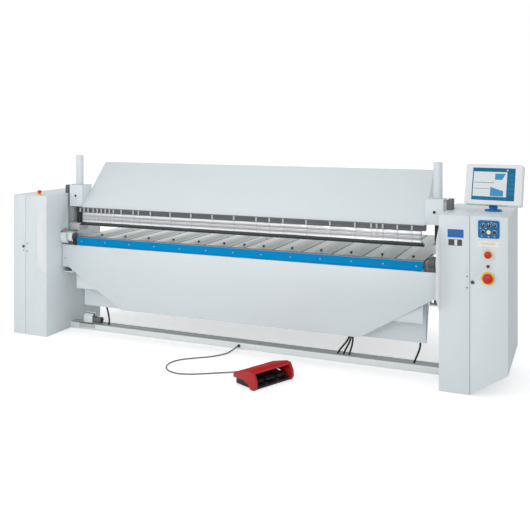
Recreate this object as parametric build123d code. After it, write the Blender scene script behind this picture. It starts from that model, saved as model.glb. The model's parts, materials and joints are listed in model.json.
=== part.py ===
from build123d import *
from math import ceil, cos, pi, radians, sin, tan
import os

# Folding brake for sheet metal, 3.1 m working length, in millimetres.
# X runs along the bending line, Y from the operator to the back, Z up.
# The origin is on the floor, in the middle of the four anchor bolts.

# working length and side stands
work_length = 3100
side_gap = 156                 # from the end of the tools to the side wall
stand_height = 1240
stand_depth = 800
left_stand_width = 362
left_seam = 231                # side wall to the seam of the left door
right_inner_width = 211
control_width = 254
sheet = 3                      # wall of the stands
door_thick = 20
door_skin = 2
door_gap = 4                   # from the doors' back edges to the cabinets
seam_gap = 3
lock_z, lock_inset = 782, 20
lock_bore = 11
lock_tongue = 33               # reaches past the seam when turned
lock_reach, cam_thick, cam_half = 37, 5, 8
skirt_rise = 162               # how far the control cabinet's floor climbs outwards
skirt_clear = 4
nose_reach = 113               # guard in front of the stand
nose_low, nose_high = 558, 1152
nose_bevel = 85

# frame plates inside the stands
frame_plate = 30
plate_inset = 39               # side wall to the frame plate
frame_depth = 640
frame_height = 1200
frame_shoulder = 700           # where the back edge starts to slope
strip_width = 20
foot_thick = 25
foot_reach = 125
anchor_hole = 22
anchor_inset = 70              # frame plate to the anchor holes
anchor_pitch_y = 480
tie_width, tie_height, tie_wall = 112, 54, 5

# bending line and table
table_top = 856
plate_thick = 12
bend_y = -149.5
table_back = 1190
plate_pitch = 250
plate_gap = 5
first_right_gap, first_left_gap = 74, -51
tool_rail_depth, tool_rail_height = 37, 56
rail_clear = 0.5

# lower beam
beam_front, beam_back = -60, 90
beam_bottom = 224
beam_foot = 30                 # depth of the beam at its bottom
beam_heel = 560                # height where the back starts to slope
beam_wall = 15
beam_nose_drop = 54
end_arch = 70

# folding beam
fold_plate = 12
fold_front = -190
fold_top = 785
fold_bottom = 250
lug_reach = 147                # beyond the working length
lug_height = 200
diagonal_top_x, diagonal_top_z = 86, 577
diagonal_foot = 480            # inwards from the end of the tools
rail_thick = 13
rail_nose = 12
rail_height = 69
rail_round = 16
arm_thick = 50
arm_eye = 46
pivot_shaft = 60
hub_radius = 66
hub_flat = 37
hub_depth = 56                 # how far the hub stands in front of the side wall
fold_wall = 8
fold_heel = 27.5               # back of the folding beam behind the bending line

# folding drive
gear_module = 6
gear_teeth, pinion_teeth = 48, 20
gear_width = 30
gear_gap = 5
pinion_swing = 60              # angle of the pinion below the horizontal
pinion_shaft = 40

# upper beam at rest, fully open
opening = 106
tool_toe, tool_height, tool_back = 9, 115, 70
clamp_height, clamp_depth = 40, 58
girder_bottom_gap = 5
girder_setback = 40.5          # tool toe to the front of the girder
girder_wall = 12
cover_lean = 366               # how far back the inclined cover reaches
cover_rise = 392
cover_sheet = 3
block_width, block_depth, block_height = 138, 146, 193
spindle_from_wall = 73
spindle_y = -20
spindle_d, spindle_bore_gap = 50, 0.4
nut_d = 64
cover_tube_d, cover_tube_wall, cover_tube_height = 67, 6, 272

# guides and lift drive
shoe_width, shoe_depth, shoe_height = 36, 142, 191
guide_width, guide_depth = 30, 46
guide_clear = 0.5
bearing_height = 65
bearing_drop = 48              # below the lowest position of the upper beam
worm_offset = 50
lift_shaft = 30
lift_motor_r = 46

# tools on the upper beam
narrow_tool = 43
segment_gap = 0.4
holder_pin = 8

# table arms and back gauge
arm_width, arm_height = 50, 104
gauge_bar_size, gauge_y = 60, 500
gauge_reach = 150
finger_thick = 3.5
gauge_rail = 26
gauge_screw = 20
gauge_drive_y = 1020

# monitor
screen_width, screen_height, screen_thick = 410, 302, 62
picture_width, picture_height, picture_rise = 307, 240, 2
screen_tilt, screen_turn = 15, 7.5
tilt_pin_y, tilt_pin_rise = 6, 24
pedestal_d, pedestal_x, pedestal_y = 122, 2035, -33

# foot switch
pedal_x, pedal_y, pedal_turn = 490, -698, 65
pedal_width, pedal_depth, pedal_height = 330, 210, 128
cord_d = 11

half = work_length / 2
wall = half + side_gap                       # inner face of the side walls
plate_x = wall + plate_inset                 # inner face of the frame plates
plate_out = plate_x + frame_plate
front, back = -stand_depth / 2, stand_depth / 2
left_end = wall + left_stand_width
left_door_x = wall + left_seam
seam_x = wall + right_inner_width
right_end = seam_x + control_width
plates_z = table_top - plate_thick
rail_front = bend_y + rail_clear
rail_back = rail_front + tool_rail_depth
tool_z = table_top + opening
clamp_z = tool_z + tool_height
girder_z = clamp_z + clamp_height + girder_bottom_gap
girder_front = bend_y + tool_toe + girder_setback
spindle_x = wall - spindle_from_wall
gear_x = plate_out + gear_gap
gearbox_x = gear_x + gear_width + gear_gap
fold_z = table_top
bearing_top = girder_z - opening - bearing_drop
shaft_y, shaft_z = spindle_y + worm_offset, bearing_top - bearing_height + 40


def block(x, y, z):
    """Box between two values on each axis."""
    size = [abs(b - a) for a, b in (x, y, z)]
    middle = [(a + b) / 2 for a, b in (x, y, z)]
    return Pos(*middle) * Box(*size)


def along_x(points, x):
    """Prism along X from an outline of (y, z) points."""
    face = make_face(Plane.YZ * Polyline(*points, close=True))
    return Pos(x[0], 0, 0) * extrude(face, amount=x[1] - x[0], dir=(1, 0, 0))


def along_y(points, y):
    """Prism along Y from an outline of (x, z) points."""
    face = make_face(Plane.XZ * Polyline(*points, close=True))
    return Pos(0, y[0], 0) * extrude(face, amount=y[1] - y[0], dir=(0, 1, 0))


def rod_x(radius, x, y, z):
    return Pos((x[0] + x[1]) / 2, y, z) * Rot(0, 90, 0) * Cylinder(radius, abs(x[1] - x[0]))


def rod_y(radius, x, y, z):
    return Pos(x, (y[0] + y[1]) / 2, z) * Rot(90, 0, 0) * Cylinder(radius, abs(y[1] - y[0]))


def rod_z(radius, x, y, z):
    return Pos(x, y, (z[0] + z[1]) / 2) * Cylinder(radius, abs(z[1] - z[0]))


def other_side(shape):
    return mirror(shape, about=Plane.YZ)


def pair(shape):
    """The right-hand piece and its mirror image."""
    return [shape, other_side(shape)]


nodes = {}


def keep(name, *shapes):
    """Collect the solids of one sub-part under its name."""
    solids = []
    for shape in shapes:
        for piece in (shape if isinstance(shape, (list, tuple)) else [shape]):
            solids += piece.solids()
    nodes[name] = solids[0] if len(solids) == 1 else Compound(children=solids)


# side frames: a thick plate with a foot, a pivot bore and strips that carry the stand's side wall
half_frame = frame_depth / 2
bore_r = pivot_shaft / 2 + 0.5
side_plate = along_x([(-half_frame, 0), (half_frame, 0), (half_frame, frame_shoulder),
                      (half_frame - 110, frame_height), (-half_frame + 60, frame_height),
                      (-half_frame, frame_height - 60)], (plate_x, plate_out))
side_plate -= rod_x(bore_r, (plate_x - 1, plate_out + 1), bend_y, fold_z)
side_plate -= rod_x(lift_shaft / 2 + 1, (plate_x - 1, plate_out + 1), shaft_y, shaft_z)
foot = block((wall + sheet, plate_out + foot_reach), (-half_frame, half_frame), (0, foot_thick))
anchor_x = plate_out + anchor_inset
for hole_y in (-anchor_pitch_y / 2, anchor_pitch_y / 2):
    foot -= rod_z(anchor_hole / 2, anchor_x, hole_y, (-1, foot_thick + 1))
ribs = [along_y([(plate_out, foot_thick), (plate_out + 80, foot_thick), (plate_out, foot_thick + 120)], (y, y + 12))
        for y in (-half_frame + 10, -6, half_frame - 22)]
strips = [block((wall + sheet, plate_x), y, (foot_thick, top))
          for y, top in (((-half_frame, -half_frame + strip_width), frame_height - 70),
                         ((half_frame - strip_width, half_frame), frame_shoulder - strip_width))]
keep("side_frames", pair(side_plate + foot + ribs[0] + ribs[1] + ribs[2] + strips[0] + strips[1]))

# floor tie between the feet
tie_x = wall + sheet
tie_y = (-57, -57 + tie_width)
tie = block((-tie_x, tie_x), tie_y, (0, tie_height))
tie -= block((-tie_x + 8, tie_x - 8), (tie_y[0] + tie_wall, tie_y[1] - tie_wall), (tie_wall, tie_height - tie_wall))
keep("floor_cross_member", tie)

# lower beam: closed box, deep at the top and thin at the bottom, with a nose under the tool rail
beam_outline = [(beam_front, beam_bottom), (beam_front, plates_z - beam_nose_drop - 52),
                (rail_back, plates_z - beam_nose_drop), (rail_back, plates_z), (beam_back, plates_z),
                (beam_back, beam_heel), (beam_front + beam_foot, beam_bottom)]
inner_outline = [(beam_front + beam_wall, beam_bottom + beam_wall), (beam_front + beam_wall, plates_z - 90),
                 (rail_back + beam_wall + 12, plates_z - 45), (rail_back + beam_wall + 12, plates_z - beam_wall),
                 (beam_back - beam_wall, plates_z - beam_wall), (beam_back - beam_wall, beam_heel + 4),
                 (beam_front + beam_foot - 12, beam_bottom + beam_wall)]
lower_beam = along_x(beam_outline, (-half, half))
lower_beam -= along_x(inner_outline, (-half + beam_wall, half - beam_wall))
beam_end = block((half, plate_x), (beam_front + beam_wall, beam_back), (beam_heel, plates_z))
beam_end -= rod_y(end_arch, (half + wall) / 2 + 10, (beam_front - 20, beam_back + 20), beam_heel)
lower_beam += beam_end
lower_beam += other_side(beam_end)
keep("lower_beam", lower_beam)
tool_rail = along_x([(rail_front, table_top - tool_rail_height + 8), (rail_front, table_top), (rail_back, table_top),
                     (rail_back, table_top - tool_rail_height), (rail_front + 8, table_top - tool_rail_height)],
                    (-half, half))
keep("lower_tool_rail", tool_rail)

# table: separate plates with a slot between them, on arms behind the lower beam
right_count = ceil((half - 100 - first_right_gap) / plate_pitch)
left_count = ceil((half - 100 + first_left_gap) / plate_pitch)
right_gaps = [first_right_gap + plate_pitch * i for i in range(right_count)]
left_gaps = [first_left_gap - plate_pitch * i for i in range(left_count)]
plate_edges = [-half - plate_gap / 2] + sorted(left_gaps + right_gaps) + [half + plate_gap / 2]
table_plates, plate_middles = [], []
for x0, x1 in zip(plate_edges, plate_edges[1:]):
    middle = (x0 + x1) / 2
    plate_middles.append(middle)
    plate = block((x0 + plate_gap / 2, x1 - plate_gap / 2), (rail_back, table_back), (plates_z, table_top))
    plate -= Pos(middle, 0, table_top - 3) * Cone(4, 10, 6.02)
    table_plates.append(plate)
keep("table_plates", table_plates)
arm_places = plate_middles[::2]
arms = []
for x in arm_places:
    arm = along_x([(beam_back, plates_z), (beam_back, plates_z - arm_height), (700, plates_z - arm_height),
                   (table_back - 30, plates_z - 55), (table_back - 30, plates_z)],
                  (x - arm_width / 2, x + arm_width / 2))
    arms.append(arm)
keep("table_arms", arms)

# stands: sheet shells with a guard nose on the inner wall and slots for the beams
slot_y = (spindle_y - shoe_depth / 2 - 1, spindle_y + shoe_depth / 2 + 7)
slot_z = bearing_top - bearing_height - 27


def stand_shell(width, seam):
    """Right-hand shell from the side wall outwards, open at the bottom."""
    shell = block((wall, wall + width), (front, back), (0, stand_height))
    shell -= block((wall + sheet, wall + width - sheet), (front + sheet, back - sheet), (-1, stand_height - sheet))
    nose = along_x([(front, nose_low), (front - nose_reach, nose_low + nose_bevel + 22),
                    (front - nose_reach, nose_high - nose_bevel), (front, nose_high)], (wall, wall + sheet))
    shell += nose
    cut_x = (wall - 1, wall + sheet + 1)
    shell -= block((wall - 1, wall + plate_inset + 3), slot_y, (slot_z, stand_height + 1))
    shell -= rod_x(hub_radius + 4, cut_x, bend_y, fold_z)
    shell -= block(cut_x, (beam_front + beam_wall - 3, beam_back + 3), (beam_heel - 5, plates_z + 3))
    shell -= block(cut_x, tie_y, (-1, tie_height))
    if seam:
        door_back = front + door_thick + door_gap
        shell -= block((wall + seam, wall + width + 1), (front - 1, door_back), (-1, stand_height + 1))
        shell += block((wall + seam - sheet, wall + seam), (front, door_back + 10), (0, stand_height))
    return shell


left_stand = other_side(stand_shell(left_stand_width, left_seam))
stop_x, stop_y = -(wall + 94), front + 22
stop_base = rod_z(22, stop_x, stop_y, (stand_height, stand_height + 14))
stop_base -= rod_z(11.6, stop_x, stop_y, (stand_height - 1, stand_height + 15))
keep("left_cabinet", left_stand, stop_base)
keeper = block((seam_x - sheet - 1, seam_x + sheet + 1), (front + lock_reach - 4, front + lock_reach + cam_thick + 4),
               (lock_z - lock_tongue - 3, lock_z + cam_half + 6))
keep("right_cabinet", stand_shell(right_inner_width, 0) - keeper)

# control cabinet hung on the right stand, its floor rising outwards
control_low = [(seam_x, skirt_clear), (right_end, skirt_rise)]
control_outline = control_low + [(right_end, stand_height), (seam_x, stand_height)]
rise = sheet * 1.3
inside_outline = [(seam_x + sheet, skirt_clear + 2 * rise), (right_end - sheet, skirt_rise + rise),
                  (right_end - sheet, stand_height - sheet), (seam_x + sheet, stand_height - sheet)]
control_front = front + door_thick + door_gap
control_cabinet = along_y(control_outline, (control_front, back))
control_cabinet -= along_y(inside_outline, (control_front - 1, back - sheet))
keep("control_cabinet", control_cabinet - keeper)
gear_plate = block((seam_x + 14, right_end - 12), (back - 30, back - 26), (300, stand_height - 60))
control_gear = [gear_plate]
control_gear += [rod_y(6, x, (back - 26, back - sheet), z)
                 for x in (seam_x + 30, right_end - 30) for z in (330, stand_height - 90)]
for i, (w, d, z) in enumerate([(150, 150, 980), (150, 150, 740), (190, 90, 560)]):
    x = seam_x + 24
    control_gear.append(block((x, x + w), (back - 30 - d, back - 30), (z, z + 170)))
for i in range(6):
    x = seam_x + 26 + 33 * i
    control_gear.append(block((x, x + 30), (back - 110, back - 30), (400, 480)))
keep("control_gear", control_gear)


# doors: folded pans that hang on a rod at their outer edge
hinge_inset = 8
bracket_places = (0.25, 0.5, 0.8)


def door_pan(outline, x_open, x_hinge, low_at_hinge):
    """Door between its free edge and its hinge edge, with notches for the hinge brackets."""
    pan = along_y(outline, (front, front + door_thick))
    side = 1 if x_hinge > x_open else -1
    low, high = min(p[1] for p in outline), stand_height
    inner = [(x + (door_skin if x < (x_open + x_hinge) / 2 else -door_skin), z) for x, z in outline]
    inner = [(x, z + 2 * door_skin if z < (low + high) / 2 else z - door_skin) for x, z in inner]
    pan -= along_y(inner, (front + door_skin, front + door_thick + 1))
    pin_x = x_hinge - side * hinge_inset
    for share in bracket_places:
        z = low_at_hinge + share * (high - low_at_hinge)
        pan -= block((x_hinge - side * 2 * hinge_inset, x_hinge + side),
                     (front + door_skin, front + door_thick + 1), (z - 22, z + 22))
    return pan, pin_x


door_top = stand_height
left_outline = [(-left_end, 3), (-left_door_x - seam_gap, 3), (-left_door_x - seam_gap, door_top),
                (-left_end, door_top)]
left_door, left_pin_x = door_pan(left_outline, -left_door_x, -left_end, 3)
slope = (skirt_rise - skirt_clear) / control_width
right_outline = [(seam_x + seam_gap, skirt_clear + slope * seam_gap), (right_end, skirt_rise),
                 (right_end, door_top), (seam_x + seam_gap, door_top)]
right_door, right_pin_x = door_pan(right_outline, seam_x, right_end, skirt_rise)
pin_y = front + hinge_inset + 2


def hinge_rods(pin_x, x_hinge, low):
    """Rod segments on brackets that reach forward from the shell."""
    side = 1 if x_hinge > 0 else -1
    pieces = []
    for share in bracket_places:
        z = low + share * (stand_height - low)
        rod = rod_z(4, pin_x, pin_y, (z - 40, z + 40))
        arm = block((pin_x - 3, pin_x + 3), (pin_y, control_front + 24), (z - 15, z + 15))
        ear = block((pin_x - 3, x_hinge - side * sheet), (control_front + 6, control_front + 24), (z - 15, z + 15))
        pieces.append(rod + arm + ear)
    return pieces


keep("door_hinges", hinge_rods(left_pin_x, -left_end, 3), hinge_rods(right_pin_x, right_end, skirt_rise))


def door_barrels(pin_x, x_hinge, low):
    """Sleeves on the door that turn round the rods."""
    side = 1 if x_hinge > 0 else -1
    sleeves = None
    for share in bracket_places:
        z = low + share * (stand_height - low)
        for z0, z1 in ((z + 24, z + 38), (z - 38, z - 24)):
            sleeve = block((pin_x - side * 6, x_hinge - side), (front + 1, pin_y + 6), (z0, z1))
            sleeve -= rod_z(4.4, pin_x, pin_y, (z0 - 1, z1 + 1))
            sleeves = sleeve if sleeves is None else sleeves + sleeve
    return sleeves


left_lock_x, right_lock_x = -left_door_x - lock_inset, seam_x + lock_inset
left_door += door_barrels(left_pin_x, -left_end, 3)
right_door += door_barrels(right_pin_x, right_end, skirt_rise)
left_door -= rod_y(lock_bore, left_lock_x, (front - 1, front + door_skin + 1), lock_z)
right_door -= rod_y(lock_bore, right_lock_x, (front - 1, front + door_skin + 1), lock_z)


def lock(x):
    """Quarter-turn lock, undone: slotted head outside, cam tongue hanging down inside."""
    head = rod_y(12.5, x, (front - 4, front - 0.3), lock_z)
    head -= block((x - 2, x + 2), (front - 5, front - 2), (lock_z - 8, lock_z + 8))
    barrel = rod_y(lock_bore - 0.6, x, (front - 0.3, front + lock_reach + cam_thick), lock_z)
    cam = block((x - cam_half, x + cam_half), (front + lock_reach, front + lock_reach + cam_thick),
                (lock_z - lock_tongue, lock_z + cam_half))
    return head + barrel + cam


keep("left_door_lock", lock(left_lock_x))
keep("right_door_lock", lock(right_lock_x))

# operator's controls on the right door: blue panel, selectors, keys and stop buttons
panel_x, panel_z = (1974, 2116), (1093, 1215)
panel_thick = 5
control_panel = block(panel_x, (front - panel_thick, front), panel_z)
control_panel = fillet(control_panel.edges().filter_by(Axis.Y), 14)
device_bore = 9.5
column_x = [panel_x[0] + 33 + 38 * i for i in range(3)]
row_z = (panel_z[1] - 34, panel_z[0] + 42)
stop_z, stop_r = 980, 23
main_x, main_z, main_r = 2040, 818, 34
key_z = 900
stop_plate, main_plate = 6, 10
holes = None
for z in row_z:
    for x in column_x:
        hole = rod_y(device_bore, x, (front - 20, front + door_skin + 1), z)
        holes = hole if holes is None else holes + hole
control_panel -= holes
stop_collar = rod_y(stop_r + 5, main_x, (front - stop_plate, front), stop_z)
main_collar = rod_y(main_r + 11, main_x, (front - main_plate, front), main_z)
stop_hole = rod_y(13, main_x, (front - 20, front + door_skin + 1), stop_z)
main_hole = rod_y(16, main_x, (front - 20, front + door_skin + 1), main_z)
key_hole = rod_y(device_bore, main_x, (front - 20, front + door_skin + 1), key_z)
right_door = right_door - holes - stop_hole - main_hole - key_hole
keep("left_door", left_door)
keep("right_door", right_door)
keep("control_panel", control_panel, stop_collar - stop_hole, main_collar - main_hole)
device_gap = 0.4
face_y = front - panel_thick


def selector(x, z, y):
    """Turning knob with a raised grip across it."""
    knob = rod_y(13, x, (y - 6, y - device_gap), z)
    knob += block((x - 3.5, x + 3.5), (y - 18, y - 5), (z - 13, z + 13))
    return knob + rod_y(device_bore - device_gap, x, (y - 1, front + 40), z)


def push_button(x, z, y):
    cap = rod_y(12, x, (y - 12, y - 4), z)
    return cap + rod_y(device_bore - device_gap, x, (y - 5, front + 40), z)


def mushroom(radius, stem, x, z, y):
    """Domed stop button on its stem."""
    dome = Pos(x, y - 30, z) * Rot(90, 0, 0) * Cone(radius, radius * 0.72, 12)
    return dome + rod_y(radius, x, (y - 24, y - 14), z) + rod_y(stem, x, (y - 15, front + 45), z)


for i, x in enumerate(column_x):
    keep(f"selector_{i + 1}", selector(x, row_z[0], face_y))
keep("clamp_button", push_button(column_x[0], row_z[1], face_y))
keep("lit_button", push_button(column_x[1], row_z[1], face_y))
keep("fold_button", push_button(column_x[2], row_z[1], face_y))
keep("stop_button", mushroom(stop_r, 13 - device_gap, main_x, stop_z, front - stop_plate + 7))
keep("main_stop", mushroom(main_r, 16 - device_gap, main_x, main_z, front - main_plate + 7))
key_switch = rod_y(12, main_x, (front - 5, front - device_gap), key_z)
key_switch += block((main_x - 1.5, main_x + 1.5), (front - 24, front - 4), (key_z - 10, key_z + 10))
keep("key_switch", key_switch + rod_y(device_bore - device_gap, main_x, (front - 1, front + 30), key_z))
top_stop = rod_z(19, stop_x, stop_y, (stand_height + 24, stand_height + 38))
top_stop += Pos(stop_x, stop_y, stand_height + 42) * Cone(19, 13, 8)
top_stop += rod_z(11, stop_x, stop_y, (stand_height + 6, stand_height + 25))
keep("top_stop", top_stop)

# guides of the upper beam: flat column on the frame, shoe on the beam running round it
column_y = (spindle_y - guide_depth / 2 + 3, spindle_y + guide_depth / 2 + 3)
guide = block((plate_x - guide_width, plate_x), column_y, (bearing_top, stand_height - 10))
shoe_x = (wall + 1, wall + 1 + shoe_width)
shoe_y = (slot_y[0] + 4, slot_y[0] + 4 + shoe_depth - 4)
shoe = block(shoe_x, shoe_y, (girder_z, girder_z + shoe_height))
shoe -= block((plate_x - guide_width - guide_clear, wall + 50),
              (column_y[0] - guide_clear, column_y[1] + guide_clear), (girder_z - 1, girder_z + shoe_height + 1))
for i in range(5):
    groove_y = shoe_y[0] + 12 + i * 28
    shoe -= block((wall, wall + 5), (groove_y, groove_y + 9), (stand_height - 10, girder_z + shoe_height + 1))
keep("guide_shoes", pair(shoe))

# pivot hubs: half-round housings with a flat top, bolted to the frame plates
hub = rod_x(hub_radius, (wall - hub_depth, plate_x), bend_y, fold_z)
hub -= block((wall - hub_depth - 1, plate_x + 1), (bend_y - hub_radius, bend_y + hub_radius),
             (fold_z + hub_flat, fold_z + hub_radius + 1))
hub -= rod_x(bore_r, (wall - hub_depth - 1, plate_x + 1), bend_y, fold_z)
hub = fillet(hub.edges().filter_by(Axis.Y).group_by(Axis.X)[0], 6)
keep("pivot_hubs", pair(hub), pair(guide))

# spindle bearings with the worm gearboxes, and the lift motors behind the frame plates
bearing_z = (bearing_top - bearing_height, bearing_top)
bearing_x = (spindle_x - 40, wall - 6)
bearing = block(bearing_x, (spindle_y - 55, spindle_y + 66), bearing_z)
bearing += block((wall - 6, plate_x), (spindle_y - 50, spindle_y + 66), bearing_z)
bearing -= rod_z(spindle_d / 2 + spindle_bore_gap, spindle_x, spindle_y, (bearing_z[0] + 12, bearing_top + 1))
lift_motor = rod_x(lift_shaft / 2, (plate_x, plate_out + 12), shaft_y, shaft_z)
lift_motor += rod_x(lift_motor_r, (plate_out, gearbox_x + 50), shaft_y, shaft_z)
lift_motor += rod_x(lift_motor_r - 12, (gearbox_x + 50, gearbox_x + 92), shaft_y, shaft_z)
keep("lift_gearboxes", pair(bearing), pair(lift_motor))

# lift spindles: screws that stand in the gearboxes and turn in the nuts of the upper beam
spindle_top = girder_z + block_height + cover_tube_height - opening - 20
for name, side in (("left", -1), ("right", 1)):
    x = side * spindle_x
    screw = rod_z(spindle_d / 2, x, spindle_y, (bearing_z[0] + 12.5, spindle_top))
    keep(f"{name}_lift_spindle", chamfer(screw.edges().group_by(Axis.Z)[-1], 4))

# upper beam: box girder with an inclined front, closed ends and the cover sheet on it
lean = cover_lean / cover_rise
girder_top = girder_z + cover_rise - 12
crest_y = girder_front + 10 + lean * (cover_rise - 12)
girder_outline = [(girder_front + 10, girder_z), (crest_y, girder_top), (crest_y + 35, girder_top),
                  (crest_y + 35, girder_top - 60), (girder_front + 290, girder_z)]
girder_inside = [(girder_front + 40, girder_z + girder_wall), (crest_y - 12, girder_top - 34),
                 (crest_y + 22, girder_top - 44), (girder_front + 272, girder_z + girder_wall)]
girder = along_x(girder_outline, (-half, half))
girder -= along_x(girder_inside, (-half + girder_wall, half - girder_wall))
girder += block((-half, half), (girder_front + 8, girder_front + 40), (girder_z - girder_bottom_gap, girder_z))
keep("upper_beam_girder", girder)
cover_low = (girder_front - 1, girder_z - girder_bottom_gap)
cover_high = (cover_low[0] + cover_lean, cover_low[1] + cover_rise)
cover_under = cover_high[1] - cover_sheet
cover = along_x([cover_low, cover_high, (cover_high[0] + 38, cover_high[1]), (cover_high[0] + 38, cover_under),
                 (cover_high[0] + 1.2, cover_under), (cover_low[0] + cover_sheet + 1.2, cover_low[1] + 2.2),
                 (cover_low[0] + 9, cover_low[1] + 2.2), (cover_low[0] + 9, cover_low[1])], (-half, half))
keep("upper_beam_cover", cover)
end_block = block((half, half + block_width), (girder_front - 1, girder_front - 1 + block_depth),
                  (girder_z, girder_z + block_height))
end_block = fillet(end_block.edges().filter_by(Axis.Z).group_by(Axis.Y)[0], 5)
end_block += block((half + block_width, shoe_x[0]), (shoe_y[0] + 14, shoe_y[1] - 14), (girder_z + 20, girder_z + 170))
end_block -= rod_z(nut_d / 2, spindle_x, spindle_y, (girder_z - 1, girder_z + block_height + 1))
hook = rod_y(7, half + 70, (girder_front - 9, girder_front - 1), girder_z + 96)
hook += rod_y(11, half + 70, (girder_front - 4, girder_front - 1), girder_z + 96)
nut = rod_z(nut_d / 2, spindle_x, spindle_y, (girder_z, girder_z + 90))
nut -= rod_z(spindle_d / 2 + spindle_bore_gap, spindle_x, spindle_y, (girder_z - 1, girder_z + 91))
tube_z = girder_z + block_height
tube = rod_z(cover_tube_d / 2, spindle_x, spindle_y, (tube_z, tube_z + cover_tube_height))
tube = fillet(tube.edges().group_by(Axis.Z)[-1], 4)
tube -= rod_z(cover_tube_d / 2 - cover_tube_wall, spindle_x, spindle_y, (tube_z - 1, tube_z + cover_tube_height - 4))
keep("end_blocks", pair(end_block + hook), pair(nut), pair(tube))

# clamp strip that holds the tools, with release pins at the joints between them
tool_y = bend_y + tool_toe
strip_y = (tool_y + 10, tool_y + 10 + clamp_depth)
strip = block((-half - 8, half + 8), strip_y, (clamp_z, clamp_z + clamp_height))
strip -= block((-half - 9, half + 9), (strip_y[0] - 1, strip_y[0] + 4), (clamp_z + 8, clamp_z + clamp_height - 10))

# segmented clamping tools: goat's foot with a thin toe, and a horned one at each end
toe_outline = [(0, 0), (0, 1.5), (17, 10), (23, 30), (23, 66), (19, 70), (19, 76), (23, 80),
               (23, tool_height), (tool_back - tool_toe, tool_height), (tool_back - tool_toe, 12),
               (tool_back - tool_toe - 12, 0)]
tool_outline = [(tool_y + y, tool_z + z) for y, z in toe_outline]
horn_length = 90
horn_reach = 26
narrow_count, narrow_start = 6, -half + horn_length + 12
joints_x = [narrow_start + narrow_tool * i for i in range(narrow_count + 1)]
wide_joints = [-1110, -986, -932, -811, -615, -414, -213, -14, 187, 303, 422, 619, 816, 1018, 1147, 1190, 1237, 1349]
joints_x += [x for x in wide_joints if joints_x[-1] + 30 < x < half - horn_length - 30]
joints_x += [half - horn_length]
joints_x[0] = -half + horn_length
tools = [along_x(tool_outline, (a + segment_gap / 2, b - segment_gap / 2)) for a, b in zip(joints_x, joints_x[1:])]
horn = along_x(tool_outline, (half - horn_length + segment_gap / 2, half))
relief = along_y([(half - horn_reach, tool_z + tool_height + 1), (half - horn_reach, tool_z + 34),
                  (half - horn_reach + 8, tool_z + 26), (half + 1, tool_z + 5), (half + 1, tool_z + tool_height + 1)],
                 (tool_y - 1, tool_y + tool_back))
horn -= relief
keep("clamping_tools", tools, pair(horn))
for x in joints_x[1:-1]:
    strip += block((x - holder_pin / 2, x + holder_pin / 2), (strip_y[0] - 1, strip_y[0] + 5),
                   (clamp_z + 6, clamp_z + clamp_height - 6))
keep("clamp_strip", strip)

# folding beam: front plate with end lugs, torsion box behind it and the nose behind the rail
fold_back = fold_front + fold_plate
lug_x, notch_x = half + lug_reach, half + 75
lug_z = fold_top - lug_height
panel_outline = [(lug_x, fold_top), (lug_x, lug_z), (notch_x, lug_z), (half + diagonal_top_x - 22, diagonal_top_z),
                 (half - diagonal_foot, fold_bottom)]
panel_outline += [(-x, z) for x, z in reversed(panel_outline)]
panel = along_y(panel_outline, (fold_front, fold_back))
nose_y = bend_y - 0.5 - rail_nose
box_outline = [(fold_back, fold_top), (nose_y, fold_top), (nose_y, table_top - 1), (bend_y - 0.5, table_top - 1),
               (bend_y - 0.5, fold_top - 23), (bend_y + fold_heel, fold_top - 23), (bend_y + fold_heel, fold_top - 55),
               (fold_back, 400)]
inner_box = [(fold_back, fold_top - fold_wall - 20), (bend_y + fold_heel - fold_wall, fold_top - 23 - fold_wall),
             (bend_y + fold_heel - fold_wall, fold_top - 58), (fold_back, 440)]
torsion_box = along_x(box_outline, (-half, half))
torsion_box -= along_x(inner_box, (-half + fold_wall, half - fold_wall))
lug_back = bend_y + 48
arm_x = (half + 40, half + 40 + arm_thick)
lug = block((lug_x - 10, lug_x), (fold_back, lug_back), (lug_z, fold_top))
lug += block((arm_x[0], lug_x), (fold_back, lug_back), (lug_z, lug_z + 10))
lug += block((arm_x[0], arm_x[0] + 12), (fold_back, lug_back), (lug_z - 50, lug_z))
lug += block((arm_x[0], lug_x - 2), (fold_back, lug_back), (lug_z - 50, lug_z - 40))
folding_beam = panel + torsion_box + lug
folding_beam += other_side(lug)
keep("folding_beam", folding_beam)
rail = block((-half, half), (nose_y - rail_thick, nose_y), (table_top - rail_height, table_top))
rail = fillet(rail.edges().filter_by(Axis.Y).group_by(Axis.Z)[0], rail_round)
rail_screw_x = [i * plate_pitch for i in range(-int(half // plate_pitch), int(half // plate_pitch) + 1)]
for x in rail_screw_x:
    rail -= Pos(x, nose_y - rail_thick + 2, table_top - rail_height / 2) * Rot(90, 0, 0) * Cone(3, 7, 4.02)
keep("bending_rail", rail)

# pivot arms: eye round the bending axis, shaft through the hub, foot inside the lug
arm = along_x([(bend_y - 28, fold_z), (bend_y + 28, fold_z), (bend_y + 28, lug_z + 40), (bend_y + 10, lug_z + 10),
               (fold_back, lug_z + 10), (fold_back, fold_top)], arm_x)
eye = rod_x(arm_eye, arm_x, bend_y, fold_z)
eye -= block((arm_x[0] - 1, arm_x[1] + 1), (bend_y - arm_eye, bend_y + arm_eye), (fold_z + hub_flat, fold_z + arm_eye + 1))
arm += eye
arm += rod_x(pivot_shaft / 2, (arm_x[1], gear_x + gear_width + 4), bend_y, fold_z)
nut_y, nut_x = bend_y + 4, half + 106
adjuster = rod_z(31, nut_x, nut_y, (lug_z - 30, lug_z - 2)) + rod_z(14, nut_x, nut_y, (lug_z - 40, lug_z))
keep("pivot_arms", pair(arm), pair(adjuster))


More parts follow.
